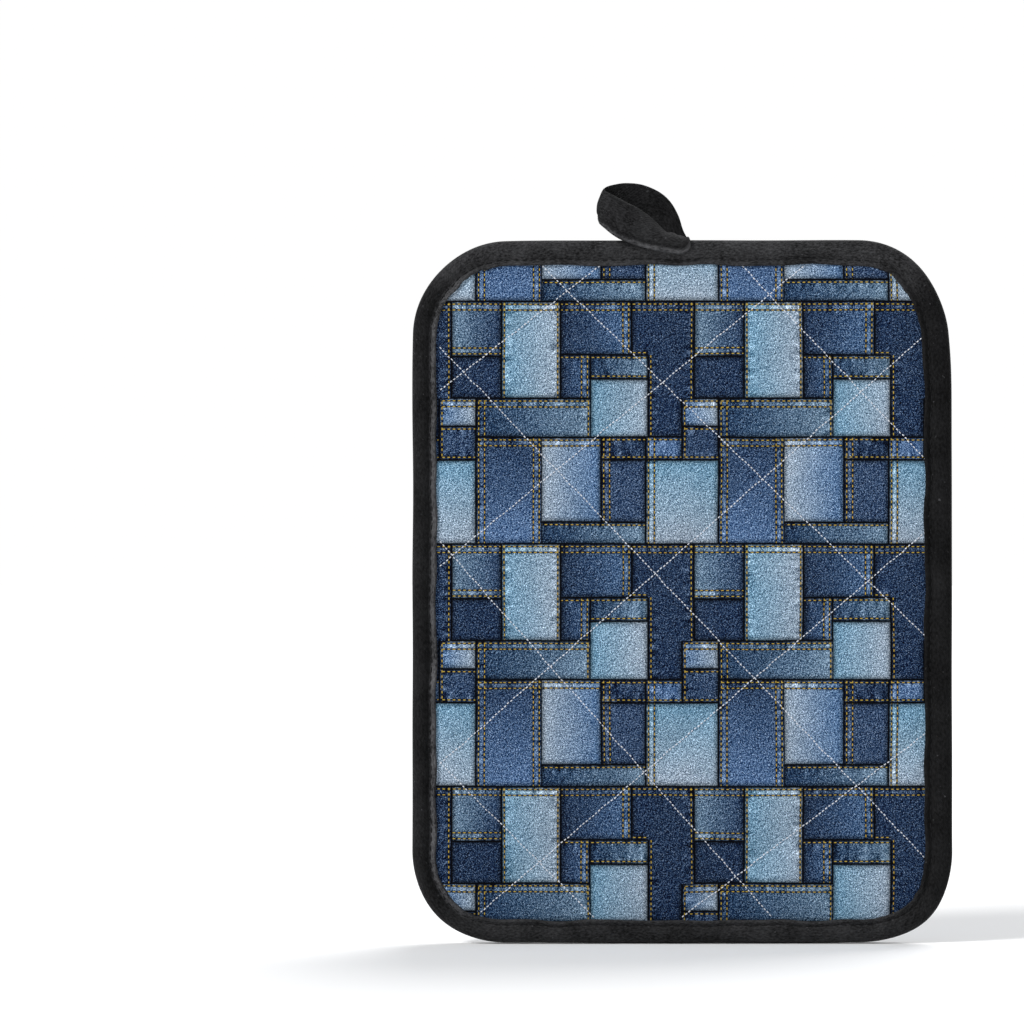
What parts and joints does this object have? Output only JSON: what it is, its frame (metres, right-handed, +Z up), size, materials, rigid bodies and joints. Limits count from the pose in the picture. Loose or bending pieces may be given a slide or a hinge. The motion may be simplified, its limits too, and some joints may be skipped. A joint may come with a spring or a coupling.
{
  "type": "oven mitt",
  "caption": "Quilted rectangular pocket oven mitt: printed pad with bound edge, a bound hand pocket across its back that gapes open, and a tape hanging loop.",
  "frame": {"origin": "middle of the open pocket mouth, halfway between the pad's lining and the pocket panel", "axes": "+Z up the mitt towards the hanging loop and out of the pocket, -Y out of the printed face, +Y out of the pocket side, +X to the right as the printed face is seen"},
  "size_m": [0.18, 0.0272, 0.2538],
  "materials": {
    "printed_cotton": "plain-weave cotton printed with a denim patchwork",
    "batting": "lofty cotton batting",
    "heat_barrier": "needled barrier felt",
    "black_lining": "black cotton, matt",
    "black_tape": "black folded cotton tape, matt",
    "black_thread": "black spun thread",
    "white_thread": "white spun thread",
    "grey_thread": "grey spun thread"
  },
  "bodies": {
    "pad": {"front_cover": "printed_cotton", "front_batting": "batting", "heat_liner": "heat_barrier", "back_batting": "batting", "back_lining": "black_lining", "edge_binding": "black_tape", "binding_stitches_front": "black_thread", "binding_stitches_back": "black_thread", "front_quilting_thread": "white_thread", "back_quilting_thread": "grey_thread", "loop_tail": "black_tape", "loop_bar_tack": "black_thread"},
    "pocket": {"pocket_lining": "black_lining", "pocket_batting": "batting", "pocket_face": "printed_cotton", "pocket_mouth_binding": "black_tape", "pocket_mouth_stitches": "black_thread", "pocket_quilting_thread": "white_thread"},
    "loop": {"hanging_loop": "black_tape", "loop_edge_stitches": "black_thread"}
  },
  "joints": [
    {"name": "pocket_open", "type": "hinge", "parent": "pad", "child": "pocket", "pos_m": [0, -0.0066, -0.172], "axis": [-1, 0, 0], "range_deg": [0, 7], "stiffness_Nm_per_rad": 1.5},
    {"name": "loop_flop", "type": "hinge", "parent": "pad", "child": "loop", "pos_m": [0, -0.0049, 0.0539], "axis": [1, 0, 0], "range_deg": [-110, 0]}
  ]
}
